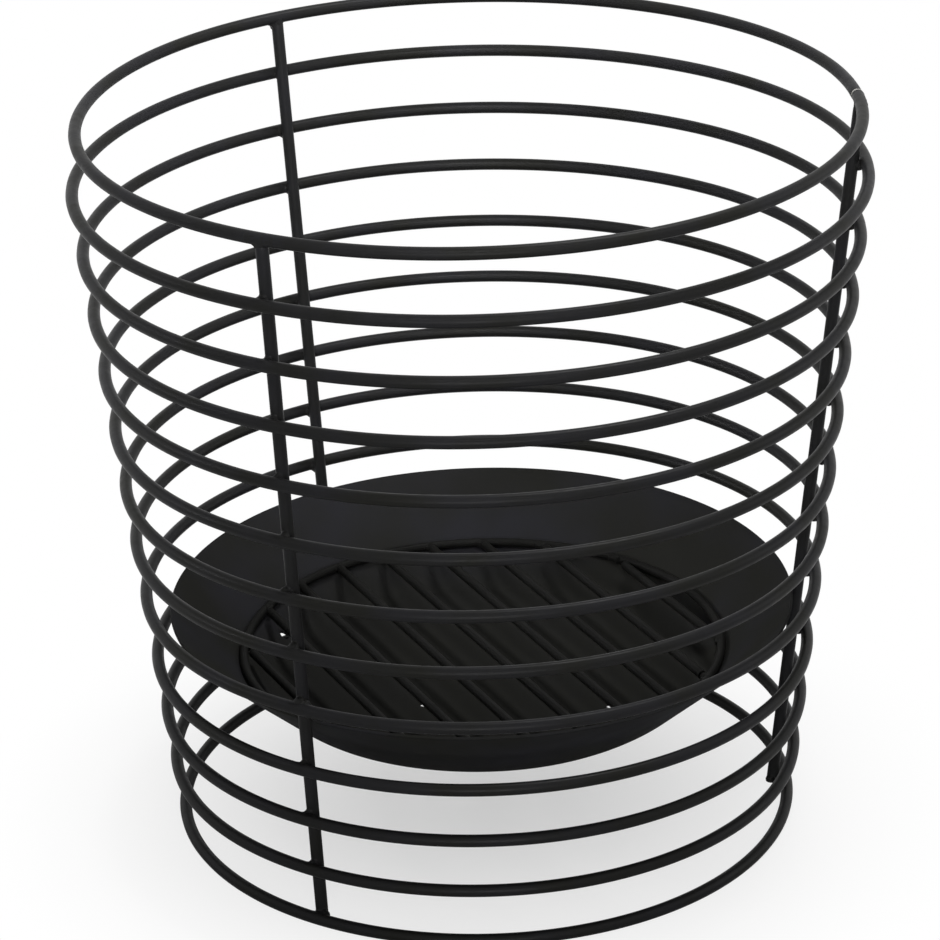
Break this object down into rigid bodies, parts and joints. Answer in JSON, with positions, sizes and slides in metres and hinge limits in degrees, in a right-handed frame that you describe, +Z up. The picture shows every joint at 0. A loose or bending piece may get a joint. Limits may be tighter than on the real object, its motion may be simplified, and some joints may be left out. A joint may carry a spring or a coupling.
{
  "type": "fire basket",
  "caption": "Tapered round-bar basket for a wood fire, with a lift-out cone-shaped pan on its uprights and a loose round grate in the pan.",
  "frame": {"origin": "on the floor, under the middle of the basket", "axes": "+Z up along the basket's axis; -Y is the front that the picture shows, +X is towards one of the uprights"},
  "size_m": [0.5106, 0.5106, 0.4875],
  "materials": {
    "black_coated_bar": "matt black powder coat on round steel bar",
    "black_coated_sheet": "satin black heat-proof coat on sheet steel"
  },
  "bodies": {
    "basket": {"ring_01": "black_coated_bar", "ring_02": "black_coated_bar", "ring_03": "black_coated_bar", "ring_04": "black_coated_bar", "ring_05": "black_coated_bar", "ring_06": "black_coated_bar", "ring_07": "black_coated_bar", "ring_08": "black_coated_bar", "ring_09": "black_coated_bar", "ring_10": "black_coated_bar", "ring_11": "black_coated_bar", "ring_12": "black_coated_bar", "ring_13": "black_coated_bar", "upright_right": "black_coated_bar", "upright_back_left": "black_coated_bar", "upright_front_left": "black_coated_bar"},
    "pan": {"fire_pan": "black_coated_sheet"},
    "grate": {"grate_ring": "black_coated_bar", "grate_bar_1": "black_coated_bar", "grate_bar_2": "black_coated_bar", "grate_bar_3": "black_coated_bar", "grate_bar_4": "black_coated_bar", "grate_bar_5": "black_coated_bar", "grate_bar_6": "black_coated_bar", "grate_bar_7": "black_coated_bar", "grate_bar_8": "black_coated_bar", "grate_bar_9": "black_coated_bar"}
  },
  "joints": [
    {"name": "pan_lift", "type": "slide", "parent": "basket", "child": "pan", "axis": [0, 0, 1], "range_m": [0, 0.42]},
    {"name": "grate_lift", "type": "slide", "parent": "pan", "child": "grate", "axis": [0, 0, 1], "range_m": [0, 0.4]}
  ]
}
